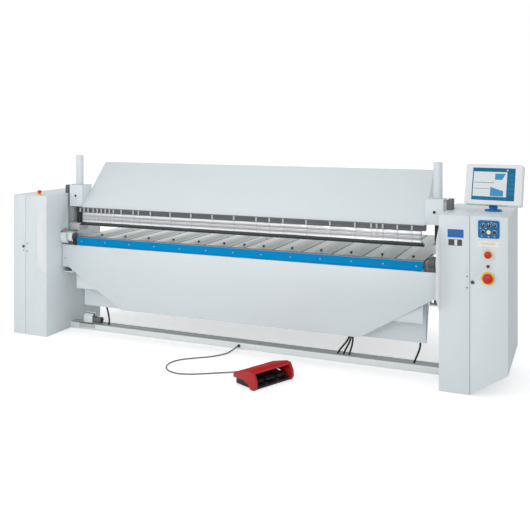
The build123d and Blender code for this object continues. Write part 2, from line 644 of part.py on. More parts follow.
def spur(teeth, phase):
    """Outline of a spur gear about its own centre, one tooth at the given angle."""
    pitch_r = gear_module * teeth / 2
    tip_r, root_r = pitch_r + 0.85 * gear_module, pitch_r - 1.1 * gear_module
    thick = 0.44 * pi * gear_module
    tip_half = (thick / 2 - 0.85 * gear_module * tan(radians(20))) / tip_r
    root_half = (thick / 2 + 1.1 * gear_module * tan(radians(20))) / root_r
    points = []
    for i in range(teeth):
        middle = radians(phase) + 2 * pi * i / teeth
        for r, a in ((root_r, -root_half), (tip_r, -tip_half), (tip_r, tip_half), (root_r, root_half)):
            points.append((r * cos(middle + a), r * sin(middle + a)))
    return points


def at(points, y, z):
    return [(y + a, z + b) for a, b in points]


centre_distance = gear_module * (gear_teeth + pinion_teeth) / 2 + 0.4
pinion_y = bend_y + centre_distance * cos(radians(pinion_swing))
pinion_z = fold_z - centre_distance * sin(radians(pinion_swing))
wheel = along_x(at(spur(gear_teeth, -pinion_swing), bend_y, fold_z), (gear_x, gear_x + gear_width))
wheel -= rod_x(pivot_shaft / 2, (gear_x - 1, gear_x + gear_width + 1), bend_y, fold_z)
web_r = (gear_module * gear_teeth / 2 + pivot_shaft / 2) / 2
for i in range(6):
    a = 2 * pi * i / 6
    wheel -= rod_x(26, (gear_x - 1, gear_x + gear_width + 1), bend_y + web_r * cos(a), fold_z + web_r * sin(a))
keep("fold_gears", pair(wheel))
pinion_phase = 180 - pinion_swing + 180 / pinion_teeth
pinion = along_x(at(spur(pinion_teeth, pinion_phase), pinion_y, pinion_z), (gear_x, gear_x + gear_width))
pinion += rod_x(pinion_shaft / 2, (gear_x + gear_width, gearbox_x + 50), pinion_y, pinion_z)
keep("right_pinion", pinion)
keep("left_pinion", other_side(pinion))
gearbox_y, gearbox_z = (pinion_y - 80, pinion_y + 80), (pinion_z - 95, pinion_z + 70)
gearbox = block((gearbox_x, gearbox_x + 84), gearbox_y, gearbox_z)
gearbox = fillet(gearbox.edges().filter_by(Axis.X), 18)
gearbox -= rod_x(pinion_shaft / 2 + 0.5, (gearbox_x - 1, gearbox_x + 52), pinion_y, pinion_z)
gearbox += block((plate_out, gearbox_x + 70), (gearbox_y[0] + 18, gearbox_y[1] - 18), (gearbox_z[0] - 20, gearbox_z[0]))
gearbox += rod_z(46, gearbox_x + 38, pinion_y, (gearbox_z[0] - 260, gearbox_z[0] - 20))
keep("fold_gearmotors", pair(gearbox))

# back gauge: rails under the table arms, crossbar with shoes, stop fingers in the table slots
arm_low = plates_z - arm_height
rail_places = (arm_places[1], arm_places[-2])
gauge_rails = [block((x - gauge_rail / 2, x + gauge_rail / 2), (beam_back, gauge_drive_y + 90), (arm_low - 34, arm_low))
               for x in rail_places]
middle_arm = min(arm_places, key=abs)
bar_half = gauge_bar_size / 2
bar_z = arm_low - 34 - 6 - bar_half
screw_r = gauge_screw / 2
front_bearing = block((middle_arm - 30, middle_arm + 30), (beam_back, beam_back + 16), (bar_z - 30, arm_low))
front_bearing -= rod_y(screw_r + 0.5, middle_arm, (beam_back - 1, beam_back + 17), bar_z)
rear_bearing = block((middle_arm - 45, middle_arm + 45), (gauge_drive_y, gauge_drive_y + 20), (bar_z - 45, arm_low))
rear_bearing -= rod_y(screw_r + 0.5, middle_arm, (gauge_drive_y - 1, gauge_drive_y + 21), bar_z)
motor = rod_y(42, middle_arm, (gauge_drive_y + 20, gauge_drive_y + 130), bar_z)
motor -= rod_y(screw_r + 0.5, middle_arm, (gauge_drive_y + 19, gauge_drive_y + 45), bar_z)
keep("gauge_drive", gauge_rails, front_bearing, rear_bearing, motor)
keep("gauge_spindle", rod_y(screw_r, middle_arm, (beam_back + 0.5, gauge_drive_y + 44), bar_z))
bar_y = (gauge_y - bar_half, gauge_y + bar_half)
bar_z_span = (bar_z - bar_half, bar_z + bar_half)
gauge_bar = block((-half + 200, half - 200), bar_y, bar_z_span)
gauge_bar -= block((-half + 208, half - 208), (bar_y[0] + 5, bar_y[1] - 5), (bar_z_span[0] + 5, bar_z_span[1] - 5))
nut_block = block((middle_arm - 28, middle_arm + 28), (bar_y[0] - 20, bar_y[1] + 20), (bar_z - 28, bar_z + 28))
gauge_bar += nut_block
gauge_bar -= rod_y(screw_r + 0.5, middle_arm, (bar_y[0] - 21, bar_y[1] + 21), bar_z)
for x in rail_places:
    shoe_box = block((x - 30, x + 30), (bar_y[0] - 20, bar_y[1] + 20), (bar_z_span[1], arm_low - 6))
    shoe_box -= block((x - gauge_rail / 2 - 0.5, x + gauge_rail / 2 + 0.5), (bar_y[0] - 21, bar_y[1] + 21),
                      (arm_low - 34.5, arm_low))
    gauge_bar += shoe_box
keep("gauge_bar", gauge_bar)
finger_gaps = sorted(left_gaps)[::2] + right_gaps
fingers = []
for x in finger_gaps:
    edge = (x - finger_thick / 2, x + finger_thick / 2)
    post_y = (gauge_y - 12, gauge_y + 12)
    finger = block(edge, post_y, (bar_z_span[1], table_top - 1))
    finger += block(edge, (gauge_y - gauge_reach, gauge_y + 12), (table_top - 10, table_top - 1))
    finger += block(edge, (gauge_y - gauge_reach, gauge_y - gauge_reach + 18), (table_top - 10, table_top + 12))
    fingers.append(finger)
keep("gauge_fingers", fingers)

# monitor: pedestal on the control cabinet, swivelling neck, tilting housing with a screen
pedestal_r = pedestal_d / 2
pedestal = rod_z(pedestal_r, pedestal_x, pedestal_y, (stand_height, stand_height + 12))
pedestal = chamfer(pedestal.edges().group_by(Axis.Z)[-1], 4)
pedestal += rod_z(28, pedestal_x, pedestal_y, (stand_height + 12, stand_height + 24))
keep("monitor_pedestal", pedestal)
tilt_z = stand_height + 62
tilt_r, tilt_pin_r = 15, 8
turn = Pos(pedestal_x, pedestal_y, tilt_z) * Rot(0, 0, -screen_turn)
neck_half = 28
neck = rod_z(32, 0, 0, (stand_height + 24.3 - tilt_z, stand_height + 33 - tilt_z))
neck += block((-neck_half, neck_half), (-10, 10), (stand_height + 30 - tilt_z, 0))
neck += rod_x(tilt_r, (-neck_half, neck_half), 0, 0)
neck += rod_x(tilt_pin_r, (-neck_half - 15, neck_half + 15), 0, 0)
keep("monitor_neck", turn * neck)
housing = Pos(0, 0, screen_height / 2) * Box(screen_width, screen_thick, screen_height)
housing = fillet(housing.edges().filter_by(Axis.Y), 14)
housing = fillet(housing.faces().sort_by(Axis.Y)[0].edges(), 6)
picture_place = Pos(0, -screen_thick / 2, screen_height / 2 + picture_rise)
housing -= picture_place * Pos(0, 1, 0) * Box(picture_width, 6, picture_height)
screen = picture_place * Pos(0, 2.5, 0) * Box(picture_width, 3, picture_height)
housing -= block((-43, 43), (tilt_pin_y - 24, screen_thick / 2 + 1), (-1, tilt_pin_rise + 24))
for side in (-1, 1):
    housing += block((side * 33, side * 43), (tilt_pin_y - 24, screen_thick / 2), (3, tilt_pin_rise + 24))
housing -= rod_x(tilt_pin_r + 0.4, (-44, 44), tilt_pin_y, tilt_pin_rise)
tilted = turn * Rot(-screen_tilt, 0, 0) * Pos(0, -tilt_pin_y, -tilt_pin_rise)
keep("monitor_housing", tilted * housing)
keep("monitor_screen", tilted * screen)

# foot switch: black base, red hood open to the front, three pedals on one hinge rod
half_w, half_d = pedal_width / 2, pedal_depth / 2
pedal_base = block((-half_w, half_w), (-half_d, half_d), (0, 14))
pedal_base += block((-half_w, half_w), (half_d - 75, half_d), (14, 52))
pedal_base += block((-half_w, -half_w + 6), (-half_d, half_d), (14, 30))
pedal_base += block((half_w - 6, half_w), (-half_d, half_d), (14, 30))
pedal_gap = pedal_width / 3
for i in (1, 2):
    x = -half_w + i * pedal_gap
    pedal_base += block((x - 3, x + 3), (-half_d, half_d - 75), (14, 30))
hinge_y, hinge_z = half_d - 84, 40
seat_w, pedal_clear = 6, 0.3
pedals = []
for i in range(3):
    x0, x1 = -half_w + i * pedal_gap + 8, -half_w + (i + 1) * pedal_gap - 8
    barrel = (-half_w + i * pedal_gap + (seat_w if i == 0 else seat_w / 2) + pedal_clear,
              -half_w + (i + 1) * pedal_gap - (seat_w if i == 2 else seat_w / 2) - pedal_clear)
    plate = along_x([(hinge_y + 5, hinge_z + 7), (hinge_y - 90, hinge_z + 16), (hinge_y - 112, hinge_z + 4),
                     (hinge_y - 110, hinge_z), (hinge_y - 88, hinge_z + 9), (hinge_y + 5, hinge_z - 4)], (x0, x1))
    pedals.append(plate + rod_x(6, barrel, hinge_y, hinge_z))
rod_seats = []
for x in (-half_w + seat_w / 2, -half_w + pedal_gap, half_w - pedal_gap, half_w - seat_w / 2):
    rod_seats.append(block((x - seat_w / 2, x + seat_w / 2), (hinge_y - 8, half_d - 75), (14, 50)))
for seat in rod_seats:
    pedal_base += seat
cheek_w = 24
hood_outline = [(half_d + 4, 48), (half_d + 4, 74), (half_d - 12, 88), (-half_d + 46, pedal_height),
                (-half_d + 6, pedal_height - 4), (-half_d - 22, 74), (-half_d - 26, 30), (-half_d - 8, 2),
                (-half_d + 24, 2), (-half_d + 52, 30), (0, 52)]
hood_x = (-half_w - cheek_w, half_w + cheek_w)
hood = along_x(hood_outline, hood_x)
hood = fillet(hood.edges().filter_by(Axis.X).group_by(Axis.Z)[-1], 16)
hood_inside = [(half_d - 72, 53), (half_d - 72, 76), (-half_d + 44, pedal_height - 14), (-half_d - 40, pedal_height - 16),
               (-half_d - 40, -1), (half_d - 72, -1)]
hood -= along_x(hood_inside, (-half_w - 0.5, half_w + 0.5))
hood -= block((-half_w, half_w), (-half_d - 1, half_d + 5), (-1, 52))
pedal_place = Pos(pedal_x, pedal_y, 0) * Rot(0, 0, pedal_turn)
exit_r = cord_d / 2 + 3.5
exit_z, relief_length = 32, 30
relief = rod_y(exit_r, 0, (half_d, half_d + relief_length), exit_z)
keep("foot_switch_base", pedal_place * pedal_base)
keep("foot_switch_hood", pedal_place * hood)
for name, pedal in zip(("left", "middle", "right"), pedals):
    keep(f"{name}_pedal", pedal_place * pedal)

# cord of the foot switch: from the gland on the floor tie, over the floor, to the back of the hood
turn = radians(pedal_turn)
out = Vector(-sin(turn), cos(turn), 0)
hood_exit = Vector(pedal_x, pedal_y, exit_z) + out * (half_d + relief_length)
gland_x, gland_z = 0, 28
gland_end = tie_y[0] - 26
cord_z = cord_d / 2
cord_points = [(gland_x, gland_end, gland_z), (gland_x, gland_end - 50, gland_z), (-24, -205, 8),
               (-62, -280, cord_z), (-128, -362, cord_z), (-216, -428, cord_z), (-302, -502, cord_z),
               (-342, -592, cord_z), (-328, -694, cord_z), (-266, -774, cord_z), (-176, -812, cord_z),
               (-68, -790, cord_z), (30, -730, cord_z), (126, -668, cord_z), (226, -630, 12),
               tuple(hood_exit + out * 56), tuple(hood_exit)]
vectors = [Vector(*p) for p in cord_points]
runs = [b - a for a, b in zip(vectors, vectors[1:])]
cord_radii = []
for a, b in zip(runs, runs[1:]):
    half_turn = radians(a.get_angle(b)) / 2
    cord_radii.append(0.45 * min(a.length, b.length) / tan(half_turn))
print("cord radii", [round(r) for r in cord_radii])
cord_line = FilletPolyline(*cord_points, radius=cord_radii)
cord_face = Plane(origin=cord_line @ 0, z_dir=cord_line % 0) * Circle(cord_d / 2)
cord = sweep(cord_face, path=cord_line)
print("cord length", round(cord_line.length), "volume share",
      round(cord.volume / (pi * (cord_d / 2) ** 2 * cord_line.length), 4))
keep("pedal_cord", cord)
gland = rod_y(exit_r + 3, gland_x, (tie_y[0] - 12, tie_y[0]), gland_z)
gland += Pos(gland_x, tie_y[0] - 19, gland_z) * Rot(90, 0, 0) * Cone(exit_r + 1, cord_d / 2 + 1.5, 14)
keep("cord_glands", gland, pedal_place * relief)

# hoses that hang between the lower beam and the floor tie
hose_r = 6
hoses = []
hose_y = beam_front + 16
for x_top, x_low, bulge in ((-1344, -1296, 26), (932, 842, -8), (950, 894, -4), (968, 938, 6), (1497, 1452, -6)):
    route = [(x_top, hose_y, beam_bottom), (x_top + bulge, hose_y, beam_bottom - 58),
             (x_low + bulge * 1.5, hose_y, tie_height + 48), (x_low, hose_y, tie_height)]
    steps = [Vector(*b) - Vector(*a) for a, b in zip(route, route[1:])]
    bends = [0.45 * min(a.length, b.length) / tan(radians(a.get_angle(b)) / 2) for a, b in zip(steps, steps[1:])]
    line = FilletPolyline(*route, radius=bends)
    hose = sweep(Plane(origin=line @ 0, z_dir=line % 0) * Circle(hose_r), path=line)
    hose -= block((x_top - 60, x_top + 60), (hose_y - 20, hose_y + 20), (beam_bottom, beam_bottom + 20))
    hose -= block((x_low - 60, x_low + 60), (hose_y - 20, hose_y + 20), (tie_height - 20, tie_height))
    hoses.append(hose)
keep("beam_hoses", hoses)

# lubrication pump on the floor tie: angle bracket, housing and its motor along X
pump_x = -wall + 96
bracket = block((pump_x, pump_x + 170), (tie_y[0] + 4, tie_y[0] + 90), (tie_height, tie_height + 8))
bracket += block((pump_x + 30, pump_x + 140), (tie_y[0] + 60, tie_y[0] + 68), (tie_height + 8, tie_height + 92))
pump = block((pump_x + 38, pump_x + 132), (tie_y[0] + 14, tie_y[0] + 60), (tie_height + 8, tie_height + 84))
pump = chamfer(pump.edges().filter_by(Axis.X).group_by(Axis.Z)[-1].sort_by(Axis.Y)[0], 20)
pump_motor = rod_x(27, (pump_x + 132, pump_x + 222), tie_y[0] + 36, tie_height + 8 + 28)
keep("lubrication_pump", bracket, pump, pump_motor)

os.makedirs("parts", exist_ok=True)
for name, shape in nodes.items():
    export_step(shape, f"parts/{name}.step")
print(len(nodes), "sub-parts")
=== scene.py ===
import json
import math
import bpy
import bmesh
from mathutils import Matrix, Vector


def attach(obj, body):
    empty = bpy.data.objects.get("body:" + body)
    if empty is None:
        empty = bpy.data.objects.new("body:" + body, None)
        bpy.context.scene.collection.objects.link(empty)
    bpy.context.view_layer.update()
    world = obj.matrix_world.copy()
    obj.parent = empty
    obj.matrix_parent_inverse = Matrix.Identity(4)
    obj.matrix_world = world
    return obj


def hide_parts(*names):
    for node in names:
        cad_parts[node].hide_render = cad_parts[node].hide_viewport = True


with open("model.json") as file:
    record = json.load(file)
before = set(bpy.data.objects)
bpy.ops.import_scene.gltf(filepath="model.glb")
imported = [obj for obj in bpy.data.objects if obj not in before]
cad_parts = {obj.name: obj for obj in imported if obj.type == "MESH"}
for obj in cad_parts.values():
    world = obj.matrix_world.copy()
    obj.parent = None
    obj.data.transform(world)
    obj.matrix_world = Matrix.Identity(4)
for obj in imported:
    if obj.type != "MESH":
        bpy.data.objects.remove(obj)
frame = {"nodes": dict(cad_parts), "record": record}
nodes = frame["nodes"]
slotOf = {s["node"]: s["material_slot"] for s in frame["record"]["subparts"]}
bodyOf = {n: b for b, group in frame["record"]["behaviour"]["bodies"].items() for n in group}
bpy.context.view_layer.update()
print("frame loaded,", len(nodes), "pieces")


def intoScene(thing):
    bpy.context.scene.collection.objects.link(thing)
    return thing


# camera, floor and light
studio = {"spot": (2.660, -5.771, 1.890), "turn": 23.0, "lens": 51.42, "drop": -0.27,
          "skyLight": 0.67, "glossLight": 0.18, "floorTone": 0.90, "nearLift": 0.40, "farLift": 0.50}

eye = bpy.data.cameras.new("eye")
eye.lens, eye.sensor_width, eye.shift_y = studio["lens"], 36.0, studio["drop"]
eye.clip_end = 200
eyeObject = intoScene(bpy.data.objects.new("eye", eye))
eyeObject.location = studio["spot"]
eyeObject.rotation_euler = (math.radians(90), 0, math.radians(studio["turn"]))
bpy.context.scene.camera = eyeObject
bpy.context.scene.view_settings.view_transform = "Standard"


class Wire:  # one shader value, so that sums of values can be written as sums
    def __init__(self, tree, socket):
        self.tree, self.socket = tree, socket

    def join(self, operation, a, b):
        return self.tree.node("ShaderNodeMath", {"operation": operation}, {0: a, 1: b})

    def __add__(self, other):
        return self.join("ADD", self, other)

    def __radd__(self, other):
        return self.join("ADD", other, self)

    def __sub__(self, other):
        return self.join("SUBTRACT", self, other)

    def __rsub__(self, other):
        return self.join("SUBTRACT", other, self)

    def __mul__(self, other):
        return self.join("MULTIPLY", self, other)

    def __rmul__(self, other):
        return self.join("MULTIPLY", other, self)


class Tree:  # the nodes of one material or of the world
    def __init__(self, owner):
        owner.use_nodes = True
        self.tree = owner.node_tree
        self.tree.nodes.clear()

    def node(self, kind, settings=None, values=None, out=0):
        made = self.tree.nodes.new(kind)
        for key, value in (settings or {}).items():
            if key == "stops":
                while len(made.color_ramp.elements) < len(value):
                    made.color_ramp.elements.new(0.5)
                for stop, (place, level) in zip(made.color_ramp.elements, value):
                    stop.position, stop.color = place, (level, level, level, 1)
            else:
                setattr(made, key, value)
        for key, value in (values or {}).items():
            if isinstance(value, Wire):
                self.tree.links.new(value.socket, made.inputs[key])
            else:
                made.inputs[key].default_value = value
        return Wire(self, made.outputs[out]) if len(made.outputs) else made

    def noise(self, spot, scale, detail=3.0, rough=0.5):
        return self.node("ShaderNodeTexNoise", None,
                         {"Vector": spot, "Scale": scale, "Detail": detail, "Roughness": rough}, "Fac")

    def ramp(self, value, low, high):
        return self.node("ShaderNodeMapRange", {"interpolation_type": "SMOOTHSTEP"},
                         {"Value": value, "From Min": low, "From Max": high}, "Result")

    def blendColour(self, share, a, b):
        return self.node("ShaderNodeMix", {"data_type": "RGBA"}, {0: share, 6: a, 7: b}, 2)


def tone(r, g, b):  # a colour written as on a screen, turned to light
    def lin(v):
        v /= 255
        return v / 12.92 if v <= 0.04045 else ((v + 0.055) / 1.055) ** 2.4
    return (lin(r), lin(g), lin(b), 1.0)


def shaded(colour, share):
    return tuple(c * share for c in colour[:3]) + (1.0,)


sky = bpy.data.worlds.new("studio")
bpy.context.scene.world = sky
air = Tree(sky)
cameraRay = air.node("ShaderNodeLightPath", out="Is Camera Ray")
glossyRay = air.node("ShaderNodeLightPath", out="Is Glossy Ray")
glassRay = air.node("ShaderNodeLightPath", out="Is Transmission Ray")
seen = air.node("ShaderNodeMath", {"operation": "MAXIMUM"}, {0: cameraRay, 1: glassRay})
level = seen * (1.0 - studio["skyLight"]) + glossyRay * studio["glossLight"] + studio["skyLight"]
backdrop = air.node("ShaderNodeBackground", None, {"Color": (1, 1, 1, 1), "Strength": level})
air.node("ShaderNodeOutputWorld", None, {"Surface": backdrop})

lamps = {  # place, size, power and what the lamp looks at
    "key": ((-4.2, -6.0, 3.6), 5.0, 72.0, (0, 0, 0.9)),
    "fill": ((1.9, -7.0, 2.6), 4.0, 64.0, (0.6, 0, 0.9)),
    "top": ((0.0, 1.2, 5.2), 5.5, 18.0, (0, 0, 0.7)),
    "side": ((0.4, -2.6, 1.3), 1.0, 12.0, (-1.75, -0.2, 0.7)),
}
for lampName, (spot, size, power, aim) in lamps.items():
    lamp = bpy.data.lights.new(lampName, "AREA")
    lamp.size, lamp.energy = size, power
    lampObject = intoScene(bpy.data.objects.new(lampName, lamp))
    lampObject.location = spot
    lampObject.rotation_euler = (Vector(aim) - Vector(spot)).to_track_quat("-Z", "Y").to_euler()

floorMesh = bmesh.new()
bmesh.ops.create_grid(floorMesh, x_segments=1, y_segments=1, size=40)
bmesh.ops.translate(floorMesh, verts=floorMesh.verts, vec=(0, 0, -0.0005))
floorData = bpy.data.meshes.new("floor")
floorMesh.to_mesh(floorData)
floor = intoScene(bpy.data.objects.new("floor", floorData))
ground = bpy.data.materials.new("paleFloor")
groundTree = Tree(ground)
groundRay = groundTree.node("ShaderNodeLightPath", out="Is Camera Ray")
floorSpot = groundTree.node("ShaderNodeTexCoord", out="Object")
around = groundTree.node("ShaderNodeMapping", None,
                         {"Vector": floorSpot, "Location": (0, 0.12, 0), "Scale": (0.40, 0.85, 0)})
reach = groundTree.node("ShaderNodeVectorMath", {"operation": "LENGTH"}, {"Vector": around}, "Value")
away = groundTree.ramp(reach, 0.75, 1.45)
lifted = away * (studio["farLift"] - studio["nearLift"]) + studio["nearLift"]
plain = groundTree.node("ShaderNodeBsdfDiffuse", None, {"Color": (studio["floorTone"],) * 3 + (1,)})
lift = groundTree.node("ShaderNodeEmission", None, {"Color": (1, 1, 1, 1), "Strength": groundRay * lifted})
both = groundTree.node("ShaderNodeAddShader", None, {0: plain, 1: lift})
groundTree.node("ShaderNodeOutputMaterial", None, {"Surface": both})
floorData.materials.append(ground)
print("studio ready")

# finishes
steelTone = tone(176, 180, 182)
toolFoot, toolHead = 0.962, 1.077
# stops of the painted reflection bands up the tool's face; the dark first stop is a painted shade over the
# toe
toolReflectionBands = [(0.0, 0.0), (0.225, 0.0), (0.25, 0.95), (0.34, 0.95), (0.39, 0.42), (0.51, 0.42), (0.55, 1.0),
             (0.65, 1.0), (0.69, 0.40), (0.79, 0.40), (0.83, 0.95), (0.94, 0.95), (0.97, 0.30), (1.0, 0.30)]
finishes = {
    "white_paint": ("enamel", tone(220, 228, 232), 0.36),
    "frame_paint": ("enamel", tone(236, 240, 241), 0.42),
    "blue_paint": ("enamel", tone(0, 134, 195), 0.40),
    "panel_blue": ("enamel", tone(0, 112, 176), 0.42),
    "tool_steel": ("tool", tone(236, 236, 239), 0.26),
    "dark_steel": ("enamel", tone(84, 88, 91), 0.38),
    "table_steel": ("ground", tone(160, 172, 171), 0.36),
    "cast_grey": ("cast", tone(196, 200, 202), 0.5),
    "motor_grey": ("cast", tone(104, 109, 113), 0.5),
    "red_plastic": ("plastic", tone(196, 26, 24), 0.25),
    "pedal_red": ("plastic", tone(168, 22, 26), 0.40),
    "black_plastic": ("plastic", tone(30, 31, 33), 0.42),
    "lit_yellow": ("plastic", tone(244, 226, 120), 0.3),
    "black_rubber": ("plastic", tone(28, 28, 29), 0.6),
    "cord_grey": ("plastic", tone(108, 110, 111), 0.5),
    "monitor_shell": ("plastic", tone(234, 237, 240), 0.36),
    "screen_glass": ("plastic", tone(0, 106, 146), 0.12),
    "electric_grey": ("plastic", tone(128, 132, 134), 0.5),
}
extras = {
    # a darker white for the folding beam's front faces: painted shade
    "beamWhite": ("enamel", tone(213, 221, 224), 0.36),
    # a darker white for the control cabinet's right side: painted shade
    "sideWhite": ("enamel", tone(209, 219, 224), 0.38),
    # a brighter white for the stands' noses: painted highlight
    "guardWhite": ("enamel", tone(253, 254, 255), 0.36),
    "hubWhite": ("enamel", tone(226, 232, 234), 0.42),
    "stopYellow": ("plastic", tone(238, 196, 50), 0.35),
    "plateCream": ("plastic", tone(240, 238, 230), 0.4),
    "plateTan": ("plastic", tone(234, 208, 180), 0.4),
    "plateBlue": ("plastic", tone(24, 98, 170), 0.35),
    "plateDark": ("plastic", tone(74, 70, 68), 0.4),
    "plateWhite": ("plastic", tone(228, 230, 230), 0.4),
    "screwBlack": ("steel", tone(40, 42, 44), 0.38),
    "screwPale": ("steel", tone(168, 196, 214), 0.35),
    "pinPale": ("cast", tone(186, 190, 190), 0.4),
    "grooveDark": ("enamel", tone(58, 62, 62), 0.5),
    "threadDark": ("thread", tone(66, 70, 72), 0.34),
    "silver": ("steel", tone(214, 216, 218), 0.22),
    "markWhite": ("plastic", tone(236, 238, 238), 0.4),
    "showBar": ("plastic", tone(18, 122, 164), 0.12),
    "showPale": ("plastic", tone(204, 210, 212), 0.14),
    "showBlue": ("plastic", tone(64, 152, 196), 0.14),
    "showLine": ("plastic", tone(120, 128, 134), 0.14),
    "pumpBlack": ("cast", tone(46, 48, 50), 0.5),
    # a darker grey for the floor tie's top: painted shadow of the beam
    "shadeGrey": ("enamel", tone(180, 187, 187), 0.5),
    "knobBlack": ("plastic", tone(18, 19, 20), 0.5),
    "bracketGrey": ("enamel", tone(196, 202, 200), 0.45),
    "lockDark": ("cast", tone(74, 76, 78), 0.4),
    # a darker red, with little sheen, for the hood's top: painted shade
    "hoodShade": ("plastic", tone(186, 22, 24), 0.6),
}
noShine = {"blue_paint": 0.05, "hoodShade": 0.05, "panel_blue": 0.25, "screen_glass": 0.3, "showPale": 0.3,
           "showBlue": 0.3, "showBar": 0.3}
glow = {"lit_yellow": (tone(244, 226, 140), 0.18), "showPale": (tone(204, 210, 212), 0.25)}


class Skin(Tree):  # a material with the values that all finishes share
    def __init__(self, owner, colour, rough):
        super().__init__(owner)
        self.colour, self.rough = colour, rough
        self.spot = self.node("ShaderNodeTexCoord", out="Object")
        self.broad = self.noise(self.spot, 1.7, 4.0, 0.6)
        self.mottle = self.noise(self.spot, 23.0, 4.0, 0.6)
        self.edge = self.node("ShaderNodeAttribute", {"attribute_name": "edgeWear"}, None, "Fac")
        self.rub = self.edge * self.ramp(self.mottle, 0.50, 0.66)

    def stretched(self, x, y, z):
        return self.node("ShaderNodeMapping", None, {"Vector": self.spot, "Scale": (x, y, z)})

    def own(self, low, high):  # two shades of the finish's colour
        return shaded(self.colour, low), shaded(self.colour, high)


# each finish gives colour, roughness, grain, how deep and how strong the grain is, and how metallic it is
def enamel(t):
    grain = t.noise(t.spot, 420.0, 2.0)
    base = t.blendColour(t.broad, *t.own(0.965, 1.02))
    base = t.blendColour(t.rub * 0.35, base, shaded(steelTone, 0.8))
    roughness = (t.mottle - 0.5) * 0.10 + t.rub * 0.12 + t.rough
    return base, roughness, grain, 0.0003, 0.10, 0.0


def steel(t):
    grain = t.noise(t.stretched(90.0, 3.0, 90.0), 3.0, 3.0) * 0.5
    grain = grain + t.noise(t.stretched(3.0, 120.0, 120.0), 3.0, 3.0) * 0.5
    base = t.blendColour(t.ramp(grain, 0.38, 0.62), *t.own(0.86, 1.06))
    base = t.blendColour(t.rub * 0.6, base, shaded(steelTone, 1.1))
    roughness = (grain - 0.5) * 0.22 + (t.broad - 0.5) * 0.10 + t.rough
    return base, roughness, grain, 0.0002, 0.14, 0.7


def tool(t):  # painted reflections: light and dark bands along the tool, with a painted shade over the toe; dark at the joints
    wander = t.noise(t.stretched(1.0, 0.0, 0.0), 5.0, 2.0) - 0.5
    height = t.node("ShaderNodeSeparateXYZ", None, {"Vector": t.spot}, "Z")
    share = t.node("ShaderNodeMapRange", None,
                   {"Value": height, "From Min": toolFoot, "From Max": toolHead}, "Result")
    # painted reflection bands, and painted shade at the toe
    reflectionBand = t.node("ShaderNodeValToRGB", {"stops": toolReflectionBands}, {"Fac": share + wander * 0.06}, "Color")
    piece = t.node("ShaderNodeAttribute", {"attribute_name": "pieceTone"}, None, "Fac")
    grain = t.noise(t.stretched(2.0, 90.0, 90.0), 4.0, 3.0)
    base = t.blendColour(reflectionBand, tone(44, 50, 52), t.colour)
    base = t.blendColour(piece * 0.45 * t.ramp(share, 0.22, 0.26), base, tone(196, 198, 202))
    base = t.blendColour(t.edge * 0.7, base, tone(70, 74, 76))
    return base, (grain - 0.5) * 0.2 + t.rough, grain, 0.0002, 0.12, 0.25


def groundPlate(t):  # machined plates, with a painted highlight along one edge and a painted shade band across each plate, both strongest at the left of the table; the plates' colour is also paler towards the left
    plateSpot = t.node("ShaderNodeUVMap", {"uv_map": "plateUv"})
    place = t.node("ShaderNodeSeparateXYZ", None, {"Vector": plateSpot}, "X")
    left = t.node("ShaderNodeSeparateXYZ", None, {"Vector": plateSpot}, "Y")
    grain = t.noise(t.stretched(70.0, 1.5, 30.0), 3.0, 4.0, 0.6)
    # painted highlight and painted shade bands across each plate, fading towards the right
    paintedHighlight = t.ramp(place, 0.03, 0.07) * (1.0 - t.ramp(place, 0.30, 0.40))
    paintedShade = t.ramp(place, 0.48, 0.60) * (1.0 - t.ramp(place, 0.74, 0.90))
    paintedLightFade = 1.0 - t.ramp(left, 0.10, 0.95) * 0.75
    slot = 1.0 - t.ramp(place, 0.020, 0.034) * (1.0 - t.ramp(place, 0.972, 0.984))
    base = t.blendColour(t.ramp(left, 0.25, 0.95), tone(206, 214, 211), t.colour)
    base = t.blendColour(t.ramp(grain, 0.30, 0.70) * 0.16, base, tone(132, 138, 136))
    base = t.blendColour(paintedHighlight * paintedLightFade * 0.8, base, tone(246, 250, 250))
    base = t.blendColour(paintedShade * paintedLightFade * 0.42, base, tone(112, 116, 112))
    base = t.blendColour(slot * 0.8, base, tone(58, 58, 58))
    base = t.blendColour(t.edge * 0.85, base, tone(64, 66, 66))
    roughness = (grain - 0.5) * 0.2 + (t.broad - 0.5) * 0.1 + t.rough
    return base, roughness, grain, 0.0002, 0.12, 0.3


def thread(t):
    grain = t.node("ShaderNodeTexWave", {"bands_direction": "Z"}, {"Vector": t.spot, "Scale": 40.0}, "Fac")
    base = t.blendColour(grain, *t.own(0.55, 1.3))
    return base, (t.mottle - 0.5) * 0.10 + t.rough, grain, 0.002, 0.8, 0.6


def cast(t):
    grain = t.noise(t.spot, 150.0, 5.0, 0.7)
    base = t.blendColour(t.mottle, *t.own(0.90, 1.05))
    return base, (grain - 0.5) * 0.18 + t.rough, grain, 0.0008, 0.30, 0.0


def plastic(t):
    grain = t.noise(t.spot, 600.0, 3.0)
    base = t.blendColour(t.mottle, *t.own(0.95, 1.03))
    base = t.blendColour(t.rub * 0.15, base, shaded(t.colour, 1.3))
    return base, (t.mottle - 0.5) * 0.12 + t.rough, grain, 0.0002, 0.10, 0.0


kinds = {"enamel": enamel, "steel": steel, "tool": tool, "ground": groundPlate, "thread": thread,
         "cast": cast, "plastic": plastic}


def makeFinish(name, kind, colour, rough):
    made = bpy.data.materials.new(name)
    t = Skin(made, colour, rough)
    base, roughness, grain, depth, strength, metallic = kinds[kind](t)
    bump = t.node("ShaderNodeBump", None, {"Height": grain, "Strength": strength, "Distance": depth})
    facts = {"Base Color": base, "Roughness": roughness, "Normal": bump, "Metallic": metallic,
             "Specular IOR Level": noShine.get(name, 0.5)}
    if name in glow:
        facts["Emission Color"], facts["Emission Strength"] = glow[name]
    skin = t.node("ShaderNodeBsdfPrincipled", None, facts)
    t.node("ShaderNodeOutputMaterial", None, {"Surface": skin})
    return made


